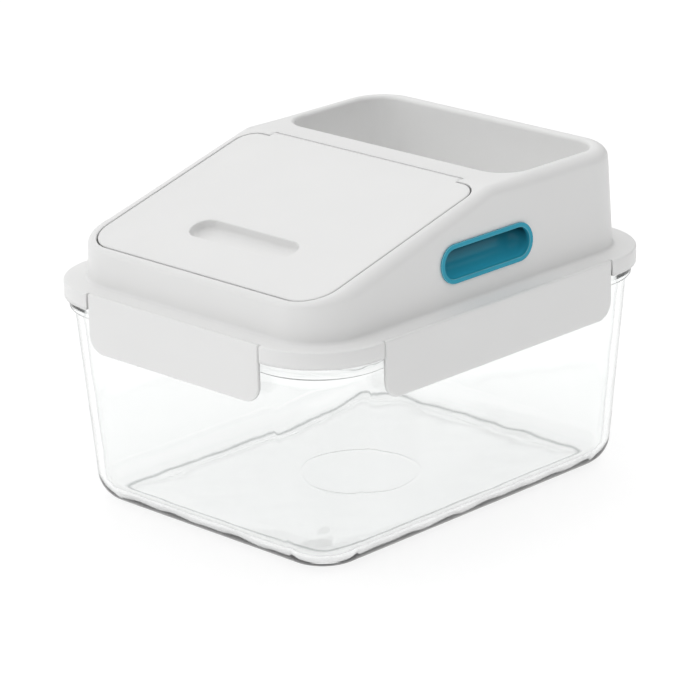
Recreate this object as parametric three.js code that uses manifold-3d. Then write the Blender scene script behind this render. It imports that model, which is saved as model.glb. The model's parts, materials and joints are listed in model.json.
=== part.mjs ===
// Lidded glass canister: a rectangular glass tub under a domed plastic lid with a sloping flap
// door, an open tray behind the door, four fold-down latches and two finger grips.
// Millimetres, +Z up. The origin is on the table under the middle of the tub, +X is the
// right-hand side and -Y is the front, where the door slopes down.
import * as THREE from "three";
import { ConvexGeometry } from "three/addons/geometries/ConvexGeometry.js";
import { mergeVertices } from "three/addons/utils/BufferGeometryUtils.js";
import Module from "manifold-3d";

const wasm = await Module();
wasm.setup();

// ---- Lid outline from above. Every ring of the object is this outline moved inwards. ----
const LID_WIDTH = 256;
const LID_DEPTH = 320;
const LID_CORNER = 50;

// ---- Glass tub. Insets are measured inwards from the lid outline. ----
const RIM_TOP = 141;
const BEAD_HEIGHT = 11; // thick band round the rim
const BEAD_INSET = 3;
const BEAD_ROUND = 1.8;
const NECK_INSET = 6.3; // outer wall just under the bead
const GLASS_WALL = 4.8;
const GLASS_FLOOR = 6;
const TUB_DRAFT = 0.09; // inward run of the wall for each unit down
const HEEL_R = 19.6; // outside radius from wall to floor
const INNER_HEEL_R = 14;
const BASE_RING_R = 39; // ring moulded in the underside
const BASE_RING_WIDTH = 2;
const BASE_RING_DEPTH = 0.8;

// ---- Lid flange, skirt and the ring that plugs into the mouth of the tub ----
const RIM_TO_FLANGE = 5; // from the glass rim to the underside of the flange
const FLANGE_T = 3;
const SKIRT_DROP = 7.7; // below the flange
const SKIRT_T = 2.5;
const PLUG_T = 2.5;
const PLUG_DROP = 10; // below the flange
const PLUG_CLEARANCE = 2.7; // from the glass to the plug ring
const GASKET_OVERHANG = 1.5; // gasket set in from the outside of the bead

// ---- Dome ----
const DOME_INSET = 15.25; // its foot, in from the lid outline
const DOME_HEIGHT = 65.6; // above the flange
const DOME_DRAFT = THREE.MathUtils.degToRad(3);
const DOME_WALL = 2.5;
const EAVE_HEIGHT = 23.3; // above the flange, where the front wall would meet the slope
const SHOULDER_R = 8.5; // along the sides and the back
const FRONT_R = 6; // along the front

// ---- Flap door. Depths are measured into the lid, square to the slope. ----
const DOOR_SIDE_FRAME = 12.25; // from the foot of the dome to the door's side edge
const DOOR_EAVE_FRAME = 5.6; // up the slope from the eave to the door's lower edge
const DOOR_TOP_FRAME = 3.43; // from the door's upper edge to the top of the slope
const DOOR_T = 2.5;
const DOOR_LOW_CORNER = 21.4;
const DOOR_HIGH_CORNER = 13;
const DOOR_SEAM = 1.1;
const BARREL_R = 2.2;
const BARREL_SETBACK = 4; // from the door's upper edge to the hinge axis
const BARREL_DEPTH = 2.4; // hinge axis below the slope
const BARREL_END = 19.5; // from the door's side edge to the end of the barrel
const BARREL_SPACE = 3.6; // from the hinge axis to the bridge behind it
const BRIDGE_BEVEL = 1.5;
const PIVOT_R = 1.3;
const PIVOT_LENGTH = 3;
const PIVOT_CLEARANCE = 0.2;
const REBATE_DEPTH = 7.2;
const REBATE_WALL = 2.2;
const CHEEK_T = 5; // lid material that holds each pivot
const LEDGE_WIDTH = 9; // shelf under the door's edge
const SEAL_INSET = 3.5;
const SEAL_WIDTH = 4;

// ---- Finger recess in the door ----
const PULL_LENGTH = 88;
const PULL_WIDTH = 20.5;
const PULL_UP = 43.8; // its middle, up from the door's lower edge
const PULL_DEPTH = 7;
const PULL_WALL = 2;

// ---- Open tray behind the door ----
const TRAY_SIDE_FRAME = 14.25; // from the foot of the dome to the tray's side
const TRAY_BACK_FRAME = 15.75; // from the foot of the dome to the tray's back
const BRIDGE = 24.7; // from the top of the slope to the tray's front
const TRAY_LENGTH = 92.14;
const TRAY_DEPTH = 54;
const TRAY_CORNER = 20;
const TRAY_WALL = 2.2;

// ---- Finger grips in the side walls ----
const GRIP_LENGTH = 84;
const GRIP_HEIGHT = 25;
const GRIP_Y = 4;
const GRIP_UP = 26; // its middle, above the flange
const GRIP_RIM = 3;
const GRIP_RIM_T = 1.2;
const GRIP_DEPTH = 12;
const GRIP_WALL = 1.5;

// ---- Latches: the flange edge folds down over the rim as a long plate on each side ----
const LATCH_T = 2.5;
const LATCH_DROP = 38;
const LATCH_CORNER = 12;
const LATCH_EDGE_R = 1.5;
const LATCH_SIDE_GAP = 1.4; // from the latch to the skirt
const LATCH_END_X = 53; // ends of the front and back latches, in from the lid's sides
const LATCH_END_Y = 56; // ends of the side latches, in from the lid's front and back

// ---- Fits and fineness ----
const GAP = 0.3; // between pieces that touch
const OVERRUN = 1; // how far a cutting shape runs past what it cuts
const ARC_STEPS = 8; // straight pieces in a quarter turn
const MERGE_DISTANCE = 1e-4;

// ---- Places worked out from the driving sizes ----
const HALF_WIDTH = LID_WIDTH / 2;
const HALF_DEPTH = LID_DEPTH / 2;
const FLANGE_TOP = RIM_TOP + RIM_TO_FLANGE + FLANGE_T;
const FLANGE_UNDER = FLANGE_TOP - FLANGE_T;
const LID_TOP = FLANGE_TOP + DOME_HEIGHT;
const DOME_HALF_X = HALF_WIDTH - DOME_INSET;
const DOME_HALF_Y = HALF_DEPTH - DOME_INSET;
const EAVE_Y = -DOME_HALF_Y + EAVE_HEIGHT * Math.tan(DOME_DRAFT);
const EAVE_Z = FLANGE_TOP + EAVE_HEIGHT;
const TRAY_BACK = DOME_HALF_Y - TRAY_BACK_FRAME;
const TRAY_FRONT = TRAY_BACK - TRAY_LENGTH;
const SLOPE_TOP_Y = TRAY_FRONT - BRIDGE;
const SLOPE = Math.atan2(LID_TOP - EAVE_Z, SLOPE_TOP_Y - EAVE_Y);
const SLOPE_LENGTH = (SLOPE_TOP_Y - EAVE_Y) / Math.cos(SLOPE);
const DOOR_LENGTH = SLOPE_LENGTH - DOOR_EAVE_FRAME - DOOR_TOP_FRAME;
const DOOR_HALF = DOME_HALF_X - DOOR_SIDE_FRAME;
const BARREL_HALF = DOOR_HALF - BARREL_END;
const BARREL_UP = DOOR_LENGTH + BARREL_SETBACK;
const TRAY_HALF_X = DOME_HALF_X - TRAY_SIDE_FRAME;

// ---- Finishes ----
const white = { color: 0xe9e9e8, roughness: 0.42, metalness: 0 };
const glass = { color: 0xf2f6f4, roughness: 0.03, metalness: 0, transparent: true, opacity: 0.35 };
const silicone = { color: 0xdfe3e3, roughness: 0.6, metalness: 0 };
const teal = { color: 0x25849c, roughness: 0.3, metalness: 0 };

/** Part of a circle as points, from angle a0 to a1 in radians. */
function arc(cx, cy, radius, a0, a1, steps = ARC_STEPS) {
  return Array.from({ length: steps + 1 }, (_, i) => {
    const a = a0 + ((a1 - a0) * i) / steps;
    return new THREE.Vector2(cx + radius * Math.cos(a), cy + radius * Math.sin(a));
  });
}

/** Rectangle from y0 to y1 with round corners, anticlockwise from its right-hand side. */
function plate(halfX, y0, y1, lowR, highR = lowR) {
  const quarter = Math.PI / 2;
  return [
    ...arc(halfX - highR, y1 - highR, highR, 0, quarter),
    ...arc(highR - halfX, y1 - highR, highR, quarter, 2 * quarter),
    ...arc(lowR - halfX, y0 + lowR, lowR, 2 * quarter, 3 * quarter),
    ...arc(halfX - lowR, y0 + lowR, lowR, 3 * quarter, 4 * quarter),
  ];
}

/** Long outline with round ends, centred on the origin. */
function stadium(length, width) {
  return plate(length / 2, -width / 2, width / 2, width / 2 - MERGE_DISTANCE);
}

/** The lid outline moved inwards. */
function outline(inset) {
  const halfY = HALF_DEPTH - inset;
  return plate(HALF_WIDTH - inset, -halfY, halfY, LID_CORNER - inset);
}

/** Closed skin through rings of equally many points, each { points, z }, lowest first. */
function loft(rings) {
  const count = rings[0].points.length;
  const position = rings.flatMap(({ points, z }) => points.flatMap((p) => [p.x, p.y, z]));
  const index = [];
  for (let level = 0; level < rings.length - 1; level++) {
    for (let i = 0; i < count; i++) {
      const a = level * count + i;
      const b = level * count + ((i + 1) % count);
      index.push(a, b, b + count, a, b + count, a + count);
    }
  }
  const last = (rings.length - 1) * count;
  for (const [a, b, c] of THREE.ShapeUtils.triangulateShape(rings[0].points, [])) index.push(a, c, b);
  for (const [a, b, c] of THREE.ShapeUtils.triangulateShape(rings.at(-1).points, [])) {
    index.push(last + a, last + b, last + c);
  }
  const geometry = new THREE.BufferGeometry();
  geometry.setAttribute("position", new THREE.Float32BufferAttribute(position, 3));
  geometry.setIndex(index);
  return geometry;
}

/** Solid of a three.js geometry, moved by an optional matrix. */
function solid(geometry, matrix = new THREE.Matrix4()) {
  const bare = geometry.clone().applyMatrix4(matrix);
  bare.deleteAttribute("normal");
  bare.deleteAttribute("uv");
  const merged = mergeVertices(bare, MERGE_DISTANCE);
  const mesh = new wasm.Mesh({
    numProp: 3,
    vertProperties: merged.attributes.position.array,
    triVerts: new Uint32Array(merged.index.array),
  });
  return new wasm.Manifold(mesh);
}

/** Upright prism of an outline between two heights, moved by an optional matrix. */
function prism(points, z0, z1, matrix) {
  const rings = [
    { points, z: z0 },
    { points, z: z1 },
  ];
  return solid(loft(rings), matrix);
}

/** Box between two corners, moved by an optional matrix. */
function block([x0, y0, z0], [x1, y1, z1], matrix) {
  const place = new THREE.Matrix4().makeTranslation((x0 + x1) / 2, (y0 + y1) / 2, (z0 + z1) / 2);
  if (matrix) place.premultiply(matrix);
  return solid(new THREE.BoxGeometry(x1 - x0, y1 - y0, z1 - z0), place);
}

/** Round bar along X between x0 and x1, its axis at (y, z), moved by an optional matrix. */
function bar(radius, x0, x1, y, z, matrix) {
  const place = new THREE.Matrix4().makeTranslation((x0 + x1) / 2, y, z);
  place.multiply(new THREE.Matrix4().makeRotationZ(Math.PI / 2));
  if (matrix) place.premultiply(matrix);
  return solid(new THREE.CylinderGeometry(radius, radius, x1 - x0, 4 * ARC_STEPS), place);
}

/** Prism along X of a closed outline in the YZ plane, moved by an optional matrix. */
function slab(points, x0, x1, matrix) {
  const turn = new THREE.Matrix4().set(0, 0, 1, x0, 1, 0, 0, 0, 0, 1, 0, 0, 0, 0, 0, 1);
  if (matrix) turn.premultiply(matrix);
  return prism(points, 0, x1 - x0, turn);
}

/** Named mesh with its own material, from a solid. */
function part(name, shape, finish) {
  const { vertProperties, triVerts } = shape.getMesh();
  const geometry = new THREE.BufferGeometry();
  geometry.setAttribute("position", new THREE.BufferAttribute(vertProperties, 3));
  geometry.setIndex(new THREE.BufferAttribute(triVerts, 1));
  geometry.computeVertexNormals();
  const mesh = new THREE.Mesh(geometry, new THREE.MeshStandardMaterial(finish));
  mesh.name = name;
  return mesh;
}

// ---------------------------------------------------------------- glass tub

/** Inset of the tub's outer wall at a height. */
const wallInset = (z) => NECK_INSET + (RIM_TOP - BEAD_HEIGHT - z) * TUB_DRAFT;

/** Rings from a flat floor round a heel that runs into the drafted wall. */
function heelRings(floor, radius, inset) {
  const lean = Math.atan(TUB_DRAFT);
  const middle = inset(floor + radius) + radius / Math.cos(lean);
  return arc(middle, floor + radius, radius, -Math.PI / 2, -Math.PI + lean).map((p) => ({
    points: outline(p.x),
    z: p.y,
  }));
}

function glassTub() {
  const neck = RIM_TOP - BEAD_HEIGHT;
  const outer = loft([
    ...heelRings(0, HEEL_R, wallInset),
    { points: outline(NECK_INSET), z: neck },
    { points: outline(BEAD_INSET), z: neck + BEAD_ROUND },
    { points: outline(BEAD_INSET), z: RIM_TOP - BEAD_ROUND },
    { points: outline(BEAD_INSET + BEAD_ROUND), z: RIM_TOP },
  ]);
  const innerInset = (z) => wallInset(z) + GLASS_WALL / Math.cos(Math.atan(TUB_DRAFT));
  const inner = loft([
    ...heelRings(GLASS_FLOOR, INNER_HEEL_R, innerInset),
    { points: outline(innerInset(RIM_TOP + OVERRUN)), z: RIM_TOP + OVERRUN },
  ]);
  const ringIn = BASE_RING_R - BASE_RING_WIDTH / 2;
  const ringOut = BASE_RING_R + BASE_RING_WIDTH / 2;
  const ring = new THREE.LatheGeometry(
    [
      new THREE.Vector2(ringIn, -OVERRUN),
      new THREE.Vector2(ringOut, -OVERRUN),
      new THREE.Vector2(ringOut, BASE_RING_DEPTH),
      new THREE.Vector2(ringIn, BASE_RING_DEPTH),
      new THREE.Vector2(ringIn, -OVERRUN),
    ],
    6 * ARC_STEPS,
  );
  const upright = new THREE.Matrix4().makeRotationX(Math.PI / 2);
  return part("glass_tub", solid(outer).subtract(solid(inner)).subtract(solid(ring, upright)), glass);
}

// ---------------------------------------------------------------- dome

/** Roof planes moved inwards by a wall: z = level + rise * y, with the plane's normal. */
function roofs(wall) {
  const rise = Math.tan(SLOPE);
  const level = EAVE_Z - EAVE_Y * rise - wall / Math.cos(SLOPE);
  const slope = { level, rise, normal: new THREE.Vector3(0, -Math.sin(SLOPE), Math.cos(SLOPE)) };
  const top = { level: LID_TOP - wall, rise: 0, normal: new THREE.Vector3(0, 0, 1) };
  return { slope, top };
}

/** Rounded edge between a roof plane and the wall that faces angle a round a corner's centre. */
function shoulder(cx, cy, a, roof, wall) {
  const radius = SHOULDER_R + (FRONT_R - SHOULDER_R) * Math.max(0, -Math.sin(a)) - wall;
  const cos = Math.cos(DOME_DRAFT);
  const tan = Math.tan(DOME_DRAFT);
  const reach = LID_CORNER - DOME_INSET - (wall + radius) / cos;
  const drop = radius / roof.normal.z;
  const level = roof.level - drop + roof.rise * (cy + (reach + FLANGE_TOP * tan) * Math.sin(a));
  const z = level / (1 + roof.rise * tan * Math.sin(a));
  const run = reach - (z - FLANGE_TOP) * tan;
  const centre = new THREE.Vector3(cx + run * Math.cos(a), cy + run * Math.sin(a), z);
  const wallNormal = new THREE.Vector3(Math.cos(a) * cos, Math.sin(a) * cos, Math.sin(DOME_DRAFT));
  return Array.from({ length: ARC_STEPS + 1 }, (_, i) => {
    const normal = wallNormal.clone().lerp(roof.normal, i / ARC_STEPS).normalize();
    return centre.clone().addScaledVector(normal, radius);
  });
}

/** Solid dome inside its walls and roofs, all moved inwards by a wall. */
function dome(wall) {
  const { slope, top } = roofs(wall);
  const cx = HALF_WIDTH - LID_CORNER;
  const cy = HALF_DEPTH - LID_CORNER;
  const foot = outline(DOME_INSET + wall / Math.cos(DOME_DRAFT));
  const points = foot.map((p) => new THREE.Vector3(p.x, p.y, FLANGE_TOP));
  for (let i = 0; i <= ARC_STEPS; i++) {
    const a = (i / ARC_STEPS) * (Math.PI / 2);
    points.push(...shoulder(cx, cy, a, top, wall), ...shoulder(-cx, cy, Math.PI - a, top, wall));
    points.push(...shoulder(cx, -cy, -a, slope, wall), ...shoulder(-cx, -cy, Math.PI + a, slope, wall));
  }
  for (const roof of [slope, top]) {
    points.push(...shoulder(cx, SLOPE_TOP_Y, 0, roof, wall));
    points.push(...shoulder(-cx, SLOPE_TOP_Y, Math.PI, roof, wall));
  }
  return solid(new ConvexGeometry(points));
}

// ---------------------------------------------------------------- door and its seat

/** Frame of the slope: X across, Y up the slope from the door's lower edge, Z out of the lid. */
const doorPlace = new THREE.Group();
doorPlace.position.set(
  0,
  EAVE_Y + DOOR_EAVE_FRAME * Math.cos(SLOPE),
  EAVE_Z + DOOR_EAVE_FRAME * Math.sin(SLOPE),
);
doorPlace.rotation.x = SLOPE;
doorPlace.updateMatrix();
const onSlope = doorPlace.matrix;

/** Outline of the door, or of an edge moved outwards from it. */
function doorOutline(grow) {
  return plate(DOOR_HALF + grow, -grow, DOOR_LENGTH + grow, DOOR_LOW_CORNER + grow, DOOR_HIGH_CORNER + grow);
}

/** Finger recess outline, moved outwards, at its place on the door. */
function pullOutline(grow) {
  const up = new THREE.Vector2(0, PULL_UP);
  return stadium(PULL_LENGTH + 2 * grow, PULL_WIDTH + 2 * grow).map((p) => p.add(up));
}

function flapDoor() {
  const arm = block(
    [-BARREL_HALF, DOOR_LENGTH - OVERRUN, -DOOR_T],
    [BARREL_HALF, BARREL_UP, BARREL_R - BARREL_DEPTH],
  );
  const pivots = BARREL_HALF + DOOR_SEAM + PIVOT_LENGTH;
  const shape = prism(doorOutline(0), -DOOR_T, 0)
    .add(arm)
    .add(bar(BARREL_R, -BARREL_HALF, BARREL_HALF, BARREL_UP, -BARREL_DEPTH))
    .add(bar(PIVOT_R, -pivots, pivots, BARREL_UP, -BARREL_DEPTH))
    .add(prism(pullOutline(PULL_WALL), -PULL_DEPTH - PULL_WALL, -DOOR_T / 2))
    .subtract(prism(pullOutline(0), -PULL_DEPTH, OVERRUN));
  return part("flap_door", shape, white);
}

/** Ring of silicone under the door's edge, which closes on the ledge. */
function doorSeal() {
  const low = GAP - REBATE_DEPTH;
  const high = -DOOR_T - GAP;
  const inside = prism(doorOutline(-SEAL_INSET - SEAL_WIDTH), low - OVERRUN, high + OVERRUN);
  return part("door_seal", prism(doorOutline(-SEAL_INSET), low, high).subtract(inside), silicone);
}

/** Material that hangs under the slope to hold the door's seat and its pivots. */
function doorSeatBlock() {
  const floor = -REBATE_DEPTH - REBATE_WALL;
  const cheek = BARREL_HALF + DOOR_SEAM + CHEEK_T;
  const back = BARREL_UP + BARREL_SPACE + REBATE_WALL;
  return prism(doorOutline(DOOR_SEAM + REBATE_WALL), floor, 0, onSlope).add(
    block([-cheek, DOOR_LENGTH - LEDGE_WIDTH, floor], [cheek, back, 0], onSlope),
  );
}

/** Everything that is open in the slope: the seat, the hinge trough, its bevel, the way in. */
function doorSeatSpace() {
  const half = BARREL_HALF + DOOR_SEAM;
  const pivots = half + PIVOT_LENGTH + GAP;
  const back = BARREL_UP + BARREL_SPACE;
  const bevel = [
    new THREE.Vector2(back - OVERRUN, -BRIDGE_BEVEL - OVERRUN),
    new THREE.Vector2(back, -BRIDGE_BEVEL - OVERRUN),
    new THREE.Vector2(back + BRIDGE_BEVEL + OVERRUN, 0),
    new THREE.Vector2(back - OVERRUN, 0),
  ];
  return prism(doorOutline(DOOR_SEAM), -REBATE_DEPTH, OVERRUN, onSlope)
    .add(block([-half, DOOR_LENGTH - OVERRUN, -REBATE_DEPTH], [half, back, OVERRUN], onSlope))
    .add(slab(bevel, -half, half, onSlope))
    .add(bar(PIVOT_R + PIVOT_CLEARANCE, -pivots, pivots, BARREL_UP, -BARREL_DEPTH, onSlope))
    .add(prism(doorOutline(-LEDGE_WIDTH), -2 * REBATE_DEPTH, OVERRUN, onSlope));
}

// ---------------------------------------------------------------- tray

/** Inside of the tray, moved outwards by a wall. */
function trayShape(wall) {
  const points = plate(TRAY_HALF_X + wall, TRAY_FRONT - wall, TRAY_BACK + wall, TRAY_CORNER + wall);
  return prism(points, LID_TOP - TRAY_DEPTH - wall, LID_TOP + OVERRUN);
}

// ---------------------------------------------------------------- finger grips

/** Frame of a grip on the right (1) or left (-1) wall: X along the grip, Z out of the wall. */
function gripPlace(side) {
  const out = new THREE.Vector3(side * Math.cos(DOME_DRAFT), 0, Math.sin(DOME_DRAFT));
  const along = new THREE.Vector3(0, side, 0);
  const up = new THREE.Vector3().crossVectors(out, along);
  const place = new THREE.Group();
  place.setRotationFromMatrix(new THREE.Matrix4().makeBasis(along, up, out));
  const x = side * (DOME_HALF_X - GRIP_UP * Math.tan(DOME_DRAFT));
  place.position.set(x, GRIP_Y, FLANGE_TOP + GRIP_UP);
  place.updateMatrix();
  return place;
}

/** Outline of the grip's cup inside, moved outwards. */
function cupOutline(grow) {
  return stadium(GRIP_LENGTH + 2 * (grow - GRIP_RIM), GRIP_HEIGHT + 2 * (grow - GRIP_RIM));
}

function gripInsert(name) {
  const bottom = -GRIP_DEPTH - GRIP_WALL;
  const shape = prism(cupOutline(GRIP_RIM), GAP, GAP + GRIP_RIM_T)
    .add(prism(cupOutline(GRIP_WALL), bottom, GAP + GRIP_RIM_T / 2))
    .subtract(prism(cupOutline(0), -GRIP_DEPTH, GRIP_RIM_T + OVERRUN));
  return part(name, shape, teal);
}

// ---------------------------------------------------------------- lid

/** Flange plate with the skirt that hangs over the rim between the latches. */
function flange() {
  const bottom = FLANGE_UNDER - SKIRT_DROP;
  const latchBand = LATCH_T + GAP;
  const halfX = HALF_WIDTH - LATCH_END_X + LATCH_SIDE_GAP;
  const halfY = HALF_DEPTH - LATCH_END_Y + LATCH_SIDE_GAP;
  const low = bottom - OVERRUN;
  const high = FLANGE_TOP + OVERRUN;
  let shape = prism(outline(0), bottom, FLANGE_TOP).subtract(prism(outline(SKIRT_T), low, FLANGE_UNDER));
  for (const side of [-1, 1]) {
    const x = [side * (HALF_WIDTH - latchBand), side * (HALF_WIDTH + OVERRUN)].sort((a, b) => a - b);
    const y = [side * (HALF_DEPTH - latchBand), side * (HALF_DEPTH + OVERRUN)].sort((a, b) => a - b);
    shape = shape
      .subtract(block([x[0], -halfY, low], [x[1], halfY, high]))
      .subtract(block([-halfX, y[0], low], [halfX, y[1], high]));
  }
  return shape;
}

/** Inset of the glass mouth at the rim, which the plug ring and the gasket follow. */
const mouthInset = wallInset(RIM_TOP) + GLASS_WALL / Math.cos(Math.atan(TUB_DRAFT));
const plugInset = mouthInset + PLUG_DROP * TUB_DRAFT + PLUG_CLEARANCE;

function lidShell() {
  const inside = outline(DOME_INSET + DOME_WALL / Math.cos(DOME_DRAFT));
  const plugLow = FLANGE_UNDER - PLUG_DROP;
  const plug = prism(outline(plugInset), plugLow, FLANGE_TOP);
  const plugHole = prism(outline(plugInset + PLUG_T), plugLow - OVERRUN, FLANGE_UNDER);
  const outer = dome(0);
  let shape = outer
    .add(flange())
    .add(plug.subtract(plugHole))
    .subtract(dome(DOME_WALL))
    .subtract(prism(inside, FLANGE_UNDER - OVERRUN, FLANGE_TOP + MERGE_DISTANCE))
    .add(outer.intersect(doorSeatBlock().add(trayShape(TRAY_WALL))))
    .subtract(doorSeatSpace())
    .subtract(trayShape(0));
  for (const side of [-1, 1]) {
    const place = gripPlace(side).matrix;
    const space = GRIP_DEPTH + GRIP_WALL + GAP;
    shape = shape
      .add(prism(cupOutline(GRIP_WALL + GAP + TRAY_WALL), -space - TRAY_WALL, -DOME_WALL / 2, place))
      .subtract(prism(cupOutline(GRIP_WALL + GAP), -space, GRIP_DEPTH, place));
  }
  return part("lid_shell", shape, white);
}

/** Silicone ring between the glass rim and the flange, held round the plug ring. */
function lidGasket() {
  const low = RIM_TOP + GAP;
  const high = FLANGE_UNDER - GAP;
  const inside = prism(outline(plugInset - GAP), low - OVERRUN, high + OVERRUN);
  const shape = prism(outline(BEAD_INSET + GASKET_OVERHANG), low, high).subtract(inside);
  return part("lid_gasket", shape, silicone);
}

// ---------------------------------------------------------------- latches

/** Latch in its own frame: X along the edge, Y outwards from its inner face, Z up from the hinge. */
function latch(name, length) {
  const section = [
    new THREE.Vector2(0, 0),
    new THREE.Vector2(0, -LATCH_DROP),
    new THREE.Vector2(LATCH_T, -LATCH_DROP),
    ...arc(LATCH_T - LATCH_EDGE_R, -LATCH_EDGE_R, LATCH_EDGE_R, 0, Math.PI / 2),
  ];
  const half = length / 2;
  const tilt = new THREE.Matrix4().makeRotationX(Math.PI / 2);
  const face = [
    ...arc(LATCH_CORNER - half, LATCH_CORNER - LATCH_DROP, LATCH_CORNER, Math.PI, 1.5 * Math.PI),
    ...arc(half - LATCH_CORNER, LATCH_CORNER - LATCH_DROP, LATCH_CORNER, 1.5 * Math.PI, 2 * Math.PI),
    new THREE.Vector2(half, OVERRUN),
    new THREE.Vector2(-half, OVERRUN),
  ];
  const front = prism(face, -LATCH_T - OVERRUN, OVERRUN, tilt);
  return part(name, slab(section, -half, half).intersect(front), white);
}

/** Latch hung on the lid edge that faces the angle turn, measured from the back edge. */
function hangLatch(name, length, reach, turn) {
  const place = new THREE.Group();
  place.rotation.z = turn;
  const inner = reach - LATCH_T;
  place.position.set(-inner * Math.sin(turn), inner * Math.cos(turn), FLANGE_TOP);
  place.add(latch(name, length));
  return place;
}

// ---------------------------------------------------------------- the whole canister

const canister = new THREE.Group();
doorPlace.add(flapDoor(), doorSeal());
canister.add(glassTub(), lidShell(), lidGasket(), doorPlace);

for (const [side, word] of [
  [-1, "left"],
  [1, "right"],
]) {
  const place = gripPlace(side);
  place.add(gripInsert(`grip_insert_${word}`));
  canister.add(place);
}

const frontLength = LID_WIDTH - 2 * LATCH_END_X;
const sideLength = LID_DEPTH - 2 * LATCH_END_Y;
canister.add(
  hangLatch("latch_back", frontLength, HALF_DEPTH, 0),
  hangLatch("latch_left", sideLength, HALF_WIDTH, Math.PI / 2),
  hangLatch("latch_front", frontLength, HALF_DEPTH, Math.PI),
  hangLatch("latch_right", sideLength, HALF_WIDTH, -Math.PI / 2),
);

export default canister;
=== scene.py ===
"""Looks of the lidded glass canister, built round its packed frame. Metres, +Z up, front at -Y.

Every ring of the canister is the lid's outline moved inwards by an inset, so most pieces are a
profile of inset and height carried round that outline. The roof of the lid is a height above the
plan, and the flap door and its seat are laid out on the slope.
"""

import json
import math

import bmesh
import bpy
import numpy as np
from bpy.props import FloatProperty, FloatVectorProperty, PointerProperty
from mathutils import Matrix, Vector


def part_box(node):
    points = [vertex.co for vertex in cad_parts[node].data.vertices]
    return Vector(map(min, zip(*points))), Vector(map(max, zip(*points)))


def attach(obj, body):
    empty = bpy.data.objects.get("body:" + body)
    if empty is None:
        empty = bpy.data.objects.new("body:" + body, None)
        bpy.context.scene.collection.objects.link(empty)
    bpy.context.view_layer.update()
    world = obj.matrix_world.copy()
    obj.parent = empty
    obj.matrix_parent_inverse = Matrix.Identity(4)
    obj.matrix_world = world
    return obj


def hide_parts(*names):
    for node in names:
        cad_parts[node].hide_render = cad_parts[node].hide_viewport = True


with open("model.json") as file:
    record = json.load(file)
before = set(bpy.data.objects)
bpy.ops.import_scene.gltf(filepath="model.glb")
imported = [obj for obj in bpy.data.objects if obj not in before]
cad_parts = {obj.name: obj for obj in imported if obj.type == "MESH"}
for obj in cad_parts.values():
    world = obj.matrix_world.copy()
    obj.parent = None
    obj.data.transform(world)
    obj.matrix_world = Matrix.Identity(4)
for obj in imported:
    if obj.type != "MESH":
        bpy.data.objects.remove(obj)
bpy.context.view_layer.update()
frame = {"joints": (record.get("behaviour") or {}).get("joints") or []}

bl_info = {
    "name": "Glass Canister",
    "version": (1, 0, 0),
    "blender": (4, 5, 0),
    "location": "3D View > Sidebar > Canister",
    "description": "Builds the pieces of a lidded glass canister and its studio",
    "category": "Add Mesh",
}

# ---- Places read from the frame ----
LID_LOW, LID_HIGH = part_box("lid_shell")
HALF_X = LID_HIGH.x
HALF_Y = LID_HIGH.y
LID_TOP = LID_HIGH.z
SKIRT_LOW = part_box("lid_gasket")[1].z - 0.0074
FLANGE_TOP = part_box("latch_front")[1].z
RIM_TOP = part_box("glass_tub")[1].z
LATCH_END = {
    "x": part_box("latch_front")[1].x,
    "y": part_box("latch_right")[1].y,
}
HINGE = next(joint for joint in frame["joints"] if joint["name"] == "door_hinge")["pos_m"]

# ---- Sizes that the pieces share ----
CORNER = 0.05  # radius of the lid outline's corners
LATCH_THICK = 0.0025
LATCH_GAP = 0.0014  # from a latch's side to the skirt
EDGE_ROUND = 0.0012  # outer edges of flange, skirt and latches
TUB_DRAFT = 0.09  # inward run of the glass wall for each unit down
NECK_INSET = 0.0063
NECK_TOP = RIM_TOP - 0.011
DOME_INSET = 0.01525
DOME_DRAFT = math.radians(3)
EAVE_HEIGHT = 0.0233
TRAY_LENGTH = 0.09214
TRAY_SIDE_FRAME = 0.01425
TRAY_BACK_FRAME = 0.01575
BRIDGE = 0.0247
DOOR_SIDE_FRAME = 0.01225
DOOR_EAVE_FRAME = 0.0056
DOOR_TOP_FRAME = 0.00343
DOOR_LOW_CORNER = 0.0214
DOOR_HIGH_CORNER = 0.013
DOOR_SEAM = 0.0011
SHOULDER_SPARE = 0.0006  # least flat roof between the shoulder and the seam's rounded edge
TOP_ROUNDER = 0.0013  # how much larger the shoulder's radius may be beside the flat top
CORNER_SHARPER = 0.0007  # how much smaller it is in the front corners
BARREL_SETBACK = 0.004
BARREL_END = 0.0195
BARREL_SPACE = 0.0036
TAB_WIDER = 0.0008  # how far the door's tab reaches past each end of the barrel
REBATE_DEPTH = 0.0072
GRIP_Y = 0.004
GRIP_UP = 0.026
GRIP_CLEAR = 0.052  # half the length of wall that is laid out round a grip

# ---- Places worked out from them ----
EAVE_Z = FLANGE_TOP + EAVE_HEIGHT
EAVE_Y = DOME_INSET - HALF_Y + EAVE_HEIGHT * math.tan(DOME_DRAFT)
TRAY_BACK = HALF_Y - DOME_INSET - TRAY_BACK_FRAME
TRAY_FRONT = TRAY_BACK - TRAY_LENGTH
TRAY_HALF = HALF_X - DOME_INSET - TRAY_SIDE_FRAME
CREST_Y = TRAY_FRONT - BRIDGE
CREST_RUN = 0.0031  # half the length over which the slope bends into the flat top
SLOPE = math.atan2(LID_TOP - EAVE_Z, CREST_Y - EAVE_Y)
SLOPE_LENGTH = (CREST_Y - EAVE_Y) / math.cos(SLOPE)
DOOR_LENGTH = SLOPE_LENGTH - DOOR_EAVE_FRAME - DOOR_TOP_FRAME
DOOR_HALF = HALF_X - DOME_INSET - DOOR_SIDE_FRAME
DOOR_FOOT_Y = EAVE_Y + DOOR_EAVE_FRAME * math.cos(SLOPE)
BARREL_HALF = DOOR_HALF - BARREL_END
BARREL_UP = DOOR_LENGTH + BARREL_SETBACK
BRIDGE_Y = (CREST_Y + TRAY_FRONT) / 2  # line where the roof's front and back parts meet
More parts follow.
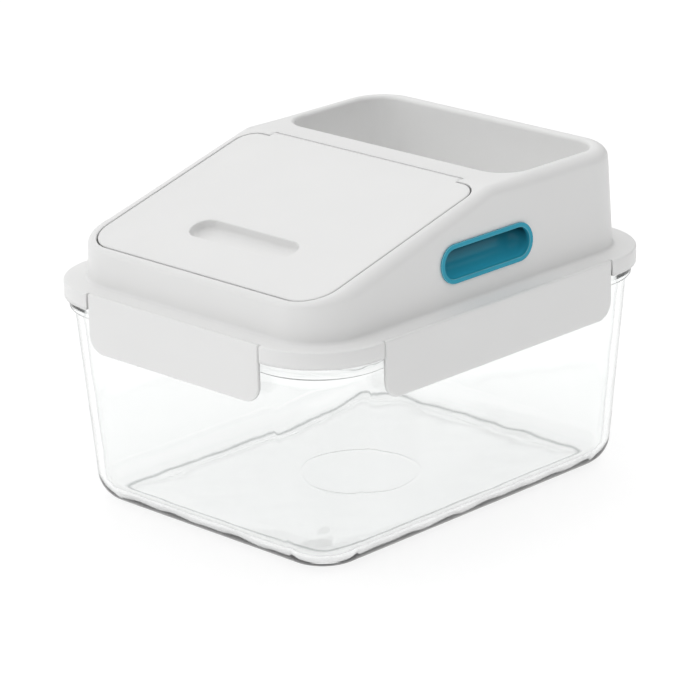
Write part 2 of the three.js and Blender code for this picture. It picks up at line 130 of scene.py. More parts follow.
BRIDGE_AHEAD = 0.016  # how far before it the door's side columns start
BRIDGE_BEHIND = 0.018  # how far behind it the tray's side columns start


def length(name, description, default):
    """A size in metres that a user may change."""
    return FloatProperty(name=name, description=description, default=default, unit="LENGTH", precision=5)


def share(name, description, default):
    """A number from 0 to 1 that a user may change."""
    return FloatProperty(name=name, description=description, default=default, min=0, max=1)


def angle(name, description, degrees):
    """An angle that a user may change."""
    return FloatProperty(name=name, description=description, default=math.radians(degrees), unit="ROTATION")


def colour(name, description, default):
    """A colour that a user may change."""
    return FloatVectorProperty(
        name=name, description=description, default=default, subtype="COLOR", min=0, max=1
    )


class TubSettings(bpy.types.PropertyGroup):
    """Sizes of the glass tub."""

    wall: length("Wall", "Thickness of the glass wall", 0.0048)
    floor: length("Floor", "Thickness of the glass floor", 0.006)
    heel: length("Heel", "Outside radius from wall to floor", 0.0196)
    inner_heel: length("Inner heel", "Inside radius from wall to floor", 0.014)
    ring: length("Ring", "Radius of the ring moulded under the floor", 0.039)
    ripple: length("Ripple", "Height of the soft waves that pressing leaves in the glass", 0.00017)


class LidSettings(bpy.types.PropertyGroup):
    """Sizes of the lid's moulded shell."""

    wall: length("Wall", "Thickness of the shell", 0.0023)
    shoulder: length("Shoulder", "Radius between the sides and the roof", 0.0085)
    front: length("Front", "Radius between the front and the roof", 0.0046)
    foot: length("Foot", "Radius between the flange and the dome", 0.0024)
    seam_edge: length("Seam edge", "Radius of the edge round the door", 0.0006)
    tray_rim: length("Tray rim", "Radius of the tray's rim", 0.0026)
    tray_depth: length("Tray depth", "Depth of the tray", 0.054)


class DoorSettings(bpy.types.PropertyGroup):
    """Sizes of the flap door."""

    thick: length("Thickness", "Thickness of the door", 0.0022)
    edge: length("Edge", "Radius of the door's edge", 0.0008)
    pull_length: length("Pull length", "Length of the finger recess", 0.088)
    pull_width: length("Pull width", "Width of the finger recess", 0.0205)
    pull_up: length("Pull place", "Middle of the recess, up from the door's lower edge", 0.0438)
    pull_depth: length("Pull depth", "Depth of the finger recess", 0.007)
    barrel: length("Barrel", "Radius of the hinge barrel", 0.0022)


class LatchSettings(bpy.types.PropertyGroup):
    """Sizes of the four latches."""

    drop: length("Drop", "Height of a latch", 0.038)
    corner: length("Corner", "Radius of its lower corners", 0.012)
    rib: length("Rib", "How far the snap rib stands out inside", 0.0028)


class GripSettings(bpy.types.PropertyGroup):
    """Sizes of the two finger grips."""

    long: length("Length", "Length of the rim", 0.084)
    high: length("Height", "Height of the rim", 0.025)
    rim: length("Rim", "Width of the rim", 0.003)
    depth: length("Depth", "Depth of the cup", 0.012)


class FinishSettings(bpy.types.PropertyGroup):
    """Colours and gloss."""

    white: colour("White plastic", "Colour of lid, door and latches", (0.84, 0.84, 0.835))
    teal: colour("Teal plastic", "Colour of the finger grips", (0.035, 0.36, 0.50))
    silicone: colour("Silicone", "Colour of the seals", (0.70, 0.73, 0.73))
    glass: colour("Glass", "Tint of the glass", (0.985, 0.993, 0.99))
    # Painted shade: the grey put on the glass where it is seen edge on.
    glass_painted_edge_shade: colour("Glass edge", "Tint of glass seen edge on", (0.20, 0.22, 0.22))
    satin: share("Satin", "Roughness of the white plastic", 0.42)
    gloss: share("Gloss", "Roughness of the teal plastic", 0.2)


class StudioSettings(bpy.types.PropertyGroup):
    """Camera and light."""

    azimuth: angle("Azimuth", "How far the camera stands round to the right", 44.347)
    elevation: angle("Elevation", "How far the camera looks down", 19.087)
    roll: angle("Roll", "Tilt of the camera", -1.13)
    distance: length("Distance", "From the camera to the point it looks at", 2.3559)
    lens: FloatProperty(name="Lens", description="Focal length in millimetres", default=186.13)
    aim: FloatVectorProperty(
        name="Aim", description="The point it looks at", default=(-0.0209, 0.0174, 0.0781), subtype="XYZ"
    )
    sky: FloatProperty(name="Sky", description="Brightness of the overhead light", default=1.03)
    key: FloatProperty(name="Key", description="Power of the key light in watts", default=4.0)
    table: FloatProperty(name="Table", description="Glow of the white table", default=0.77)


SETTINGS = {
    "canister_tub": TubSettings,
    "canister_lid": LidSettings,
    "canister_door": DoorSettings,
    "canister_latch": LatchSettings,
    "canister_grip": GripSettings,
    "canister_finish": FinishSettings,
    "canister_studio": StudioSettings,
}


# ---------------------------------------------------------------- shape helpers


def arc(centre_in, centre_up, radius, start, end, steps):
    """Points on a circle's arc as (n, 2): centre plus radius times cosine and sine, in degrees."""
    a = np.radians(np.linspace(start, end, steps + 1))
    return np.stack([centre_in + radius * np.cos(a), centre_up + radius * np.sin(a)], 1)


def line(start, end, steps):
    """Points on a straight line as (n, 2), without its first point."""
    f = np.linspace(0, 1, steps + 1)[1:, None]
    return np.array(start) * (1 - f) + np.array(end) * f


def rounded(u, half, low, high, low_r, high_r):
    """Points of a rounded rectangle in plan, anticlockwise, with u counting its eight stretches.

    Stretches 0, 2, 4 and 6 are the right, back, left and front sides, and 1, 3, 5 and 7 are the
    corners after them. A side is a straight mix of its ends and a corner a quarter circle.
    """
    u = np.mod(u, 8)
    stretch = np.minimum(u.astype(int), 7)
    f = u - stretch
    radius = np.where((stretch == 1) | (stretch == 3), high_r, low_r)
    ends_x = np.array([half, 0, half - high_r, 0, -half, 0, low_r - half, 0])
    other_x = np.array([half, 0, high_r - half, 0, -half, 0, half - low_r, 0])
    ends_y = np.array([low + low_r, 0, high, 0, high - high_r, 0, low, 0])
    other_y = np.array([high - high_r, 0, high, 0, low + low_r, 0, low, 0])
    centre_x = np.array([0, half - high_r, 0, high_r - half, 0, low_r - half, 0, half - low_r])
    centre_y = np.array([0, high - high_r, 0, high - high_r, 0, low + low_r, 0, low + low_r])
    turn = (stretch - 1) / 2 * math.pi / 2 + f * math.pi / 2
    corner = stretch % 2 == 1
    x = np.where(
        corner, centre_x[stretch] + radius * np.cos(turn), ends_x[stretch] * (1 - f) + other_x[stretch] * f
    )
    y = np.where(
        corner, centre_y[stretch] + radius * np.sin(turn), ends_y[stretch] * (1 - f) + other_y[stretch] * f
    )
    return np.stack([x, y], 1)


def outline(u):
    """The lid's outline at u, and its unit normal pointing inwards."""
    points = rounded(u, HALF_X, -HALF_Y, HALF_Y, CORNER, CORNER)
    core = np.clip(points, [CORNER - HALF_X, CORNER - HALF_Y], [HALF_X - CORNER, HALF_Y - CORNER])
    inward = core - points
    return points, inward / np.linalg.norm(inward, axis=1, keepdims=True)


def around(u, profile):
    """Surface (rows, columns, 3): each profile point's inset and height, carried round the outline."""
    points, inward = outline(u)
    profile = np.asarray(profile)
    plan = points[None] + profile[:, 0, None, None] * inward[None]
    rise = np.broadcast_to(profile[:, 1, None, None], plan.shape[:2] + (1,))
    return np.concatenate([plan, rise], 2)


def even_turn(corner_steps, side_step):
    """Values of u once round the outline, with even steps on the sides and in the corners."""
    sides = [2 * (HALF_Y - CORNER), 2 * (HALF_X - CORNER)] * 2
    parts = []
    for stretch in range(4):
        count = max(2, round(sides[stretch] / side_step))
        parts.append(2 * stretch + np.linspace(0, 1, count, endpoint=False))
        parts.append(2 * stretch + 1 + np.linspace(0, 1, corner_steps, endpoint=False))
    return np.concatenate(parts)


def to_centre(loop, steps, centre=None):
    """Loops that shrink from the given one to its middle, in a straight mix."""
    middle = loop.mean(0) if centre is None else np.asarray(centre)
    return [middle + (loop - middle) * s for s in np.linspace(1, 0, steps + 1)[1:]]


def grid_quads(rows, columns, first, wrap):
    """Corner numbers of the quads of a grid, with its last column joined to its first if it wraps."""
    r, c = np.meshgrid(np.arange(rows - 1), np.arange(columns if wrap else columns - 1), indexing="ij")
    right = (c + 1) % columns
    low = r * columns
    high = low + columns
    quads = np.stack([low + c, low + right, high + right, high + c], -1)
    return quads.reshape(-1, 4) + first


def make_piece(name, patches, body, stands_for, sharp=35, wall=0.0):
    """Mesh object from (surface, wraps) patches, merged and turned outwards, riding on a CAD body."""
    points = []
    quads = []
    count = 0
    for surface, wrap in patches:
        rows, columns = surface.shape[:2]
        quads.append(grid_quads(rows, columns, count, wrap))
        points.append(surface.reshape(-1, 3))
        count += rows * columns
    mesh = bpy.data.meshes.new(name)
    mesh.from_pydata(np.concatenate(points).tolist(), [], np.concatenate(quads).tolist())
    work = bmesh.new()
    work.from_mesh(mesh)
    bmesh.ops.remove_doubles(work, verts=work.verts, dist=2e-6)
    bmesh.ops.dissolve_degenerate(work, edges=work.edges, dist=1e-6)
    bmesh.ops.recalc_face_normals(work, faces=work.faces)
    work.to_mesh(mesh)
    work.free()
    mesh.shade_smooth()
    mesh.set_sharp_from_angle(angle=math.radians(sharp))
    piece = bpy.data.objects.new(name, mesh)
    bpy.context.scene.collection.objects.link(piece)
    if wall:
        thick = piece.modifiers.new("Wall", "SOLIDIFY")
        thick.thickness = wall
        thick.offset = -1
        thick.use_rim = True
    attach(piece, body)
    if stands_for:
        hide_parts(*stands_for)
    return piece


# ---------------------------------------------------------------- roof and slope


def roof_height(y):
    """Height of the lid's roof: the slope, then a parabola over the crest, then the flat top."""
    fall = math.tan(SLOPE)
    before = np.clip(CREST_Y + CREST_RUN - y, 0, 2 * CREST_RUN)
    beyond = np.maximum(CREST_Y - CREST_RUN - y, 0)
    return LID_TOP - fall * before**2 / (4 * CREST_RUN) - fall * beyond


def on_slope(across, up, depth=0.0):
    """Point at a place on the slope, then straight into the lid by a depth."""
    y = DOOR_FOOT_Y + up * math.cos(SLOPE)
    into = np.array([0, math.sin(SLOPE), -math.cos(SLOPE)])
    place = np.stack(np.broadcast_arrays(across, y, roof_height(y)), -1)
    return place + np.asarray(depth)[..., None] * into


def door_loop(u, tab, grow, depth, back=0.0, wider=0.0):
    """Loop of the door's outline moved outwards, at a depth below the slope.

    Where tab is true the upper edge steps back by `back`, over the width of the hinge barrel made
    `wider` at each end.
    """
    points = rounded(
        u, DOOR_HALF + grow, -grow, DOOR_LENGTH + grow, DOOR_LOW_CORNER + grow, DOOR_HIGH_CORNER + grow
    )
    across, up = points.T
    if back:
        straight = DOOR_HALF - DOOR_HIGH_CORNER
        stretched = np.interp(
            np.abs(across), [0, BARREL_HALF, straight], [0, BARREL_HALF + grow + wider, straight]
        )
        upper = (u >= 2) & (u <= 3)
        across = np.where(upper, np.sign(across) * stretched, across)
        up = np.where(tab, DOOR_LENGTH + back, up)
    return on_slope(across, up, depth)


def upper_edge(steps):
    """The door's upper edge from its right corner to its left: u along it and where the tab is."""
    straight = DOOR_HALF - DOOR_HIGH_CORNER
    step = (straight - BARREL_HALF) / (2 * straight)
    corner = np.linspace(1.5, 2, 7)[:-1]
    before_tab = len(corner) + 3
    u = np.concatenate(
        [
            corner,
            2 + step * np.linspace(0, 1, 3),
            2 + np.linspace(step, 1 - step, steps),
            3 - step * np.linspace(1, 0, 3),
            5 - corner[::-1],
        ]
    )
    tab = np.zeros(len(u), bool)
    tab[before_tab : before_tab + steps] = True
    return u, tab


# ---------------------------------------------------------------- glass tub


def floor_inset(size):
    """Inset of the inner floor's edge: the drafted inner wall's foot and the heel radius."""
    slant = math.hypot(1, TUB_DRAFT)
    fall = NECK_TOP - size.floor - size.inner_heel
    return NECK_INSET + size.wall * slant + fall * TUB_DRAFT + size.inner_heel * slant


def tub_profile(size):
    """Insets and heights of the tub's outside and inside, each from the floor to the rim.

    The outside is heel arc, drafted wall, neck and bead; the inside is the same wall moved in.
    """
    lean = math.degrees(math.atan(TUB_DRAFT))
    slant = math.hypot(1, TUB_DRAFT)
    outer = NECK_INSET + (NECK_TOP - size.heel) * TUB_DRAFT + size.heel * slant
    neck, bead, lip = 0.0016, 0.0018, 0.0014
    bead_inset = 0.0048
    outside = np.concatenate(
        [
            arc(outer, size.heel, size.heel, 270, 180 + lean, 14),
            line(
                [NECK_INSET + (NECK_TOP - 0.024) * TUB_DRAFT, 0.024],
                [NECK_INSET + 0.002 * TUB_DRAFT, NECK_TOP - 0.002],
                20,
            ),
            arc(NECK_INSET - neck, NECK_TOP - 0.001, neck, 0, 90, 4),
            arc(bead_inset, NECK_TOP + 0.0024, bead, 270, 180, 5),
            arc(bead_inset, RIM_TOP - bead, bead, 180, 90, 6),
        ]
    )
    inner_top = NECK_INSET + size.wall * slant
    inner_foot = size.floor + size.inner_heel
    inner = floor_inset(size)
    mouth = inner_top + (NECK_TOP - RIM_TOP) * TUB_DRAFT
    inside = np.concatenate(
        [
            arc(inner, inner_foot, size.inner_heel, 270, 180 + lean, 14),
            line(
                [inner_top + (NECK_TOP - inner_foot - 0.004) * TUB_DRAFT, inner_foot + 0.004],
                [mouth + 0.0024 * TUB_DRAFT, RIM_TOP - 0.0024],
                26,
            ),
            arc(mouth - lip, RIM_TOP - lip, lip, 0, 90, 5),
        ]
    )
    return outside, inside


def ripples(points, height):
    """Soft waves over a surface: three crossing sine waves of 23 to 47 mm, summed."""
    x, y, z = points[..., 0], points[..., 1], points[..., 2]
    waves = np.sin(134 * x + 61 * y + 90 * z) + np.sin(-93 * x + 188 * y + 75 * z + 1.3)
    waves += np.sin(211 * x - 140 * y + 160 * z + 2.1)
    return height * waves / 3


def ring_under_floor(loop, size):
    """Loops under the floor from its edge to its middle, with a shallow moulded ring on the way.

    The outline turns into a circle in a straight mix, and the ring is one hump of a cosine.
    """
    half_wide, half_rise, hollow = 0.0022, 0.00004, 0.0006
    middle = loop.mean(0)
    away = (loop - middle)[:, :2]
    circle = away / np.linalg.norm(away, axis=1, keepdims=True)
    loops = []
    for mix in np.linspace(0, 1, 12)[1:]:
        flat = loop.copy()
        flat[:, :2] = middle[:2] + away * (1 - mix) + circle * (size.ring + 0.003) * mix
        flat[:, 2] = loop[:, 2] + hollow * min(1, 6 * mix)
        loops.append(flat)
    for across in np.linspace(1, -1, 9):
        ring = loops[10].copy()
        ring[:, :2] = middle[:2] + circle * (size.ring + half_wide * across)
        ring[:, 2] += half_rise * (1 + math.cos(math.pi * across))
        loops.append(ring)
    return loops + to_centre(loops[-1], 6)


class CANISTER_OT_tub(bpy.types.Operator):
    """Glass tub: outside skin, rim, rippled inside skin and thick floor as one closed surface"""

    bl_idname = "canister.tub"
    bl_label = "Glass tub"

    def execute(self, context):
        size = context.scene.canister_tub
        u = even_turn(26, 0.005)
        outside, inside = tub_profile(size)
        outer = around(u, outside)
        inner = around(u, inside)
        floor = np.stack([inner[0]] + to_centre(inner[0], 26))
        calm = 0.35 * np.clip((RIM_TOP - 0.012 - inner[..., 2]) / 0.04, 0, 1)
        inward = outline(u)[1][None]
        inner[..., :2] += inward * (ripples(inner, size.ripple) * calm)[..., None]
        lift = ripples(inner[:1], size.ripple)
        inner[..., 2] += lift * np.clip(1 - (inner[..., 2] - size.floor) / size.inner_heel, 0, 1)
        off_middle = np.linalg.norm(floor[..., :2], axis=-1)
        floor[..., 2] += ripples(floor, size.ripple) * np.clip((off_middle - 0.04) / 0.06, 0.12, 1)
        floor[0] = inner[0]
        under = np.stack([outer[0]] + ring_under_floor(outer[0], size))
        rim = np.stack([outer[-1], inner[-1]])
        patches = [(outer, True), (rim, True), (inner, True), (floor, True), (under, True)]
        tub = make_piece("tub_of_glass", patches, "tub", ["glass_tub"], sharp=50)
        tub.data.materials.append(clear_glass(context.scene.canister_finish, size))
        tub.visible_shadow = False
        return {"FINISHED"}


# ---------------------------------------------------------------- lid


def side_run(straight, latch_half, marks):
    """Places along one side, from one corner to the next, and which of them lie over a latch.

    The skirt's ends stand twice, once with the skirt's profile and once with the latch's.
    """
    end = latch_half + LATCH_GAP
    middle = np.unique(np.concatenate([np.linspace(-end, end, round(end / 0.0028)), marks]))
    middle = middle[np.append(True, np.diff(middle) > 2e-4)]
    places = np.concatenate([[-straight], [-end], middle, [end], [straight]])
    over = np.zeros(len(places), bool)
    over[2:-2] = True
    return places, over


def lid_columns():
    """Values of u round the lid's outline and whether each lies over a latch."""
    sides = [
        (HALF_Y - CORNER, LATCH_END["y"], 1),
        (HALF_X - CORNER, LATCH_END["x"], 0),
        (HALF_Y - CORNER, LATCH_END["y"], -1),
        (HALF_X - CORNER, LATCH_END["x"], 0),
    ]
    near_bridge = np.array([BRIDGE_Y - BRIDGE_AHEAD, BRIDGE_Y, BRIDGE_Y + BRIDGE_BEHIND])
    over_crest = np.linspace(CREST_Y - CREST_RUN, CREST_Y + CREST_RUN, 6)
    marks = np.concatenate([near_bridge, over_crest])
    turns = []
    flags = []
    for index, (straight, latch_half, way) in enumerate(sides):
        places, over = side_run(straight, latch_half, way * marks if way else [])
        turns += [2 * index + (places + straight) / (2 * straight), 2 * index + np.linspace(1, 2, 25)[1:-1]]
        flags += [over, np.zeros(23, bool)]
    return np.concatenate(turns), np.concatenate(flags)


def shoulder_rows(u, size):
    """Wall and shoulder of the dome as (rows, columns, 3), from its foot to the roof.

    At each column the shoulder is a circle that touches the drafted wall and the roof. Its centre
    is one radius inside both, where fall is how fast the roof rises along the inward normal. The
    radius is limited by the room between the wall and the door's seam, and is a little less again
    in the front corners, by the square of the sine of twice the turn.
    """
    points, inward = outline(u)
    t, c, s = math.tan(DOME_DRAFT), math.cos(DOME_DRAFT), math.sin(DOME_DRAFT)
    level = roof_height(points[:, 1])
    beside_door = DOME_INSET + DOOR_SIDE_FRAME - DOOR_SEAM - size.seam_edge - SHOULDER_SPARE
    room = (beside_door - DOME_INSET - (level - FLANGE_TOP) * t) * c / (1 - s)
    room += TOP_ROUNDER * np.clip((points[:, 1] - CREST_Y - CREST_RUN) / BRIDGE, 0, 1)
    side = np.minimum(size.shoulder, room)
    forward = np.clip(inward[:, 1], 0, 1)
    radius = side + (size.front - side) * forward
    radius -= CORNER_SHARPER * (2 * inward[:, 0] * forward) ** 2
    sloping = points[:, 1] + DOME_INSET * inward[:, 1] < CREST_Y
    fall = np.where(sloping, math.tan(SLOPE) * inward[:, 1], 0)
    slant = np.sqrt(1 + fall**2)
    in_up = DOME_INSET - FLANGE_TOP * t + radius / c
    up = (level + fall * in_up - radius * slant) / (1 - fall * t)
    into = in_up + up * t
    foot_into = DOME_INSET + size.foot * t - size.foot / c
    rows = []
    for a in np.radians(np.linspace(-90, -math.degrees(DOME_DRAFT), 6)):
        foot_in = foot_into + size.foot * math.cos(a)
        foot_up = FLANGE_TOP + size.foot * (1 + math.sin(a))
        rows.append([np.full(len(u), foot_in), np.full(len(u), foot_up)])
    wall_low = np.array(rows[-1])
    wall_high = np.array([into - radius * c, up + radius * s])
    for f in np.linspace(0, 1, 14)[1:-1]:
        rows.append(wall_low * (1 - f) + wall_high * f)
    start = math.pi - DOME_DRAFT
    end = math.pi / 2 + np.arctan(fall)
    for f in np.linspace(0, 1, 13):
        a = start * (1 - f) + end * f
        rows.append([into + radius * np.cos(a), up + radius * np.sin(a)])
    rows = np.array(rows)
    plan = points[None] + rows[:, 0, :, None] * inward[None]
    return np.concatenate([plan, rows[:, 1, :, None]], 2)


def flange_rows(u, over):
    """Skirt, rounded edge and top of the flange; over a latch it stops at the latch's back."""
    profile = np.concatenate(
        [
            [[0, SKIRT_LOW]],
            line([0, SKIRT_LOW], [0, FLANGE_TOP - EDGE_ROUND], 3)[:-1],
            arc(EDGE_ROUND, FLANGE_TOP - EDGE_ROUND, EDGE_ROUND, 180, 90, 6),
            line([EDGE_ROUND, FLANGE_TOP], [DOME_INSET - 0.0022, FLANGE_TOP], 5)[:-1],
        ]
    )
    behind_latch, latch_root = LATCH_THICK + 0.00006, FLANGE_TOP - 0.003
    points, inward = outline(u)
    inset = np.where(over[None], np.maximum(profile[:, :1], behind_latch), profile[:, :1])
    rows = around(u, profile)
    rows[..., :2] = points[None] + inset[..., None] * inward[None]
    rows[..., 2] = np.where(over[None], np.maximum(rows[..., 2], latch_root), rows[..., 2])
    return rows


def eased(count):
    """Fractions from 0 to 1, close together at both ends: (1 - cosine) / 2."""
    return (1 - np.cos(np.linspace(0, math.pi, count))) / 2


def over_roof(outer, inner, steps):
    """Loops from an outer loop to an inner one, mixed in plan and laid on the roof."""
    loops = []
    for f in eased(steps):
        loop = outer * (1 - f) + inner * f
        loop[:, 2] = roof_height(loop[:, 1])
        loops.append(loop)
    loops[0] = outer
    return loops


def front_cell(u, crown, size):
    """Roof round the flap door, the door's seat and the shelf under its edge."""
    order = np.argsort(np.mod(u - 4, 8), kind="stable")
    turned, ring = np.mod(u[order] - 4, 8) + 4, crown[order]
    side = HALF_Y - CORNER
    left_mark = 4 + (side - BRIDGE_Y) / (2 * side)
    right_mark = 8 + (side + BRIDGE_Y) / (2 * side)
    shift = BRIDGE_AHEAD / (2 * side)
    keep = (turned > left_mark - 1e-6) & (turned < right_mark + 1e-6)
    near = turned[keep]
    door_u = np.interp(
        near,
        [left_mark, left_mark + shift, 5, 8, right_mark - shift, right_mark],
        [3.5, 4, 5, 8, 9, 9.5],
    )
    edge_u, edge_tab = upper_edge(60)
    door_u = np.concatenate([door_u, edge_u[1:-1]])
    tab = np.concatenate([np.zeros(keep.sum(), bool), edge_tab[1:-1]])
    outer = np.concatenate([ring[keep], bridge_line(edge_u, ring[keep][-1], ring[keep][0])[1:-1]])
    back = BARREL_SETBACK + BARREL_SPACE
    door_u = np.mod(door_u, 8)
    wide = DOOR_SEAM + size.seam_edge
    inner = door_loop(door_u, tab, wide, np.zeros(len(door_u)), back + size.seam_edge)
    loops = over_roof(outer, inner, 12)
    for a in np.radians(np.linspace(0, 90, 5))[1:]:
        out = size.seam_edge * (1 - math.sin(a))
        depth = np.full(len(door_u), size.seam_edge * (1 - math.cos(a)))
        loops.append(door_loop(door_u, tab, DOOR_SEAM + out, depth, back + out))
    for depth in np.linspace(size.seam_edge, REBATE_DEPTH, 4)[1:]:
        loops.append(door_loop(door_u, tab, DOOR_SEAM, np.full(len(door_u), depth), back))
    for grow in (-0.003, -0.009):
        loops.append(door_loop(door_u, tab, grow, np.full(len(door_u), REBATE_DEPTH)))
    return np.stack(loops)


def bridge_line(edge_u, right, left):
    """Points of the line across the roof between the front and back parts, from right to left."""
    f = np.interp(edge_u, [1.5, 2, 3, 3.5], [0, 0.06, 0.94, 1])[:, None]
    return right * (1 - f) + left * f


def tray_loop(u, grow, depth):
    """Loop of the tray's inside moved outwards, at a depth below the top of the lid."""
    radius = 0.02 + grow
    plan = rounded(u, TRAY_HALF + grow, TRAY_FRONT - grow, TRAY_BACK + grow, radius, radius)
    return np.concatenate([plan, np.full((len(u), 1), LID_TOP - depth)], 1)


def back_cell(u, crown, size):
    """Roof round the tray, the tray's rounded rim, its walls and its floor."""
    side = HALF_Y - CORNER
    right_mark = (side + BRIDGE_Y) / (2 * side)
    left_mark = 4 + (side - BRIDGE_Y) / (2 * side)
    shift = BRIDGE_BEHIND / (2 * side)
    keep = (u > right_mark - 1e-6) & (u < left_mark + 1e-6)
    near = u[keep]
    tray_u = np.interp(
        near, [right_mark, right_mark + shift, 1, 4, left_mark - shift, left_mark], [-0.5, 0, 1, 4, 5, 5.5]
    )
    edge_u, _ = upper_edge(60)
    front_u = np.interp(edge_u, [1.5, 2, 3, 3.5], [7.5, 7, 6, 5.5])
    ring = crown[keep]
    outer = np.concatenate([ring, bridge_line(edge_u, ring[0], ring[-1])[1:-1][::-1]])
    tray_u = np.mod(np.concatenate([tray_u, front_u[1:-1][::-1]]), 8)
    rim = size.tray_rim
    loops = over_roof(outer, tray_loop(tray_u, rim, 0), 8)
    for a in np.radians(np.linspace(0, 90, 9))[1:]:
        loops.append(tray_loop(tray_u, rim * (1 - math.sin(a)), rim * (1 - math.cos(a))))
    fillet = 0.005
    deep = size.tray_depth
    for depth in np.linspace(rim, deep - fillet, 8)[1:]:
        loops.append(tray_loop(tray_u, 0, depth))
    for a in np.radians(np.linspace(0, 90, 8))[1:]:
        depth = deep - fillet * (1 - math.sin(a))
        loops.append(tray_loop(tray_u, -fillet * (1 - math.cos(a)), depth))
    loops += to_centre(loops[-1], 10)
    return np.stack(loops)


def grip_frame(side):
    """Origin and axes of a finger grip: along it, up the drafted wall, and out of the wall."""
    out = np.array([side * math.cos(DOME_DRAFT), 0, math.sin(DOME_DRAFT)])
    along = np.array([0, side, 0])
    x = side * (HALF_X - DOME_INSET - GRIP_UP * math.tan(DOME_DRAFT))
    return np.array([x, GRIP_Y, FLANGE_TOP + GRIP_UP]), along, np.cross(out, along), out


def stadium(turn, long, high):
    """Points of an outline with round ends, where a ray at each turn from its middle meets it.

    The ray meets the straight edge where its height is half the width, and otherwise the end cap.
    """
    radius = high / 2
    straight = long / 2 - radius
    c, s = np.cos(turn), np.sin(turn)
    flat = radius / np.maximum(np.abs(s), 1e-9)
    reach = straight * np.abs(c)
    cap = reach + np.sqrt(np.maximum(reach**2 - straight**2 + radius**2, 0))
    distance = np.where(np.abs(flat * c) <= straight, flat, cap)
    return np.stack([distance * c, distance * s], 1)


def grip_hole(wall, side, size):
    """The wall from the edge of a cut-out patch to the grip's hole, then the pocket behind it."""
    origin, along, up, out = grip_frame(side)
    edge = np.concatenate([wall[0], wall[1:, -1], wall[-1, -2::-1], wall[-2:0:-1, 0]])
    local = np.stack([(edge - origin) @ along, (edge - origin) @ up], 1)
    turn = np.arctan2(local[:, 1], local[:, 0])
    grow = 2 * (size.rim - 0.0018)
    hole = stadium(turn, size.long - grow, size.high - grow)
    loops = [edge]
    for f in (0.35, 0.7, 1):
        mixed = local * (1 - f) + hole * f
        loops.append(origin + mixed[:, :1] * along + mixed[:, 1:] * up)
    for deep in (0.006, size.depth + 0.0018):
        loops.append(loops[3] - deep * out)
    loops += to_centre(loops[-1], 3)
    return np.stack(loops)


class CANISTER_OT_lid(bpy.types.Operator):
    """Lid shell: skirt, flange, dome, door seat, tray and grip pockets as one moulded skin"""

    bl_idname = "canister.lid"
    bl_label = "Lid shell"

    def execute(self, context):
        size = context.scene.canister_lid
        grip = context.scene.canister_grip
        u, over = lid_columns()
        flange = flange_rows(u, over)
        dome = shoulder_rows(u, size)
        crown = dome[-1]
        low, high = 6, 18
        patches = [(flange, True), (np.stack([flange[-1], dome[0]]), True)]
        patches += [(dome[: low + 1], True), (dome[high - 1 :], True)]
        wall = dome[low:high]
        near_grip = np.abs(wall[0, :, 1] - GRIP_Y) < GRIP_CLEAR
        right = np.nonzero((u < 1) & near_grip)[0]
        left = np.nonzero((u > 4) & (u < 5) & near_grip)[0]
        patches += [(wall[:, : right[0] + 1], False), (wall[:, right[-1] : left[0] + 1], False)]
        patches += [(np.concatenate([wall[:, left[-1] :], wall[:, :1]], 1), False)]
        patches += [(grip_hole(wall[:, right], 1, grip), True), (grip_hole(wall[:, left], -1, grip), True)]
        patches += [(front_cell(u, crown, size), True), (back_cell(u, crown, size), True)]
        lid = make_piece("lid_moulding", patches, "lid", ["lid_shell"], 40, size.wall)
        for piece in (lid, plug_ring()):
            piece.data.materials.append(white_plastic(context.scene.canister_finish))
        return {"FINISHED"}


def plug_ring():
    """Ring under the lid that drops into the mouth of the tub: an upright strip with a round foot."""
    outer, inner = 0.01373, 0.01623
    middle, half = (outer + inner) / 2, (inner - outer) / 2
    low, high = FLANGE_TOP - 0.013, FLANGE_TOP - 0.0022
    profile = np.concatenate(
        [[[outer, high]], arc(middle, low + half, half, 180, 360, 8), [[inner, high]]]
    )
    ring = around(even_turn(16, 0.02), profile)
    closed = np.concatenate([ring, ring[:1]])
    return make_piece("lid_plug_ring", [(closed, True)], "lid", [], sharp=40)


class CANISTER_OT_seals(bpy.types.Operator):
    """Soft seals: the ring on the glass rim and the lip under the flap door"""

    bl_idname = "canister.seals"
    bl_label = "Seals"

    def execute(self, context):
        low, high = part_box("lid_gasket")[0].z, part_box("lid_gasket")[1].z
        outer, inner = 0.0045, 0.0134
        round_edge = (high - low) / 2
        profile = np.concatenate(
            [
                arc(outer + round_edge, low + round_edge, round_edge, 90, 270, 10),
                line([outer + round_edge, low], [inner, low], 2),
                [[inner, high]],
            ]
        )
        ring = around(even_turn(20, 0.01), profile)
        closed = np.concatenate([ring, ring[:1]])
        gasket = make_piece("rim_gasket", [(closed, True)], "lid", ["lid_gasket"])
        u = door_turn()[0]
        plain = np.zeros(len(u), bool)
        half_wide, deep, root = 0.0019, 0.0024, 0.0028
        middle = np.array([-0.0055, 0.0045])
        section = arc(0, 0, 1, 0, 180, 10) * [half_wide, deep] + middle
        to_root = [0, root - middle[1]]
        section = np.concatenate([section[:1] + to_root, section, section[-1:] + to_root])
        section = np.concatenate([section, section[:1]])
        loops = [door_loop(u, plain, grow, np.full(len(u), depth)) for grow, depth in section]
        lip = make_piece("door_lip_seal", [(np.stack(loops), True)], "door", ["door_seal"])
        for piece in (gasket, lip):
            piece.data.materials.append(silicone(context.scene.canister_finish))
        return {"FINISHED"}


# ---------------------------------------------------------------- flap door


def door_turn():
    """Values of u once round the door and where its tab over the barrel is."""
    edge_u, edge_tab = upper_edge(60)
    rest = np.concatenate(
        [
            np.linspace(3.5, 4, 7)[1:-1],
            np.linspace(4, 5, 24)[:-1],
            np.linspace(5, 6, 15)[:-1],
            np.linspace(6, 7, 26)[:-1],
            np.linspace(7, 8, 15)[:-1],
            np.linspace(8, 9, 24)[:-1],
            np.linspace(9, 9.5, 7)[:-1],
        ]
    )
    return np.mod(np.concatenate([edge_u, rest]), 8), np.concatenate([edge_tab, np.zeros(len(rest), bool)])


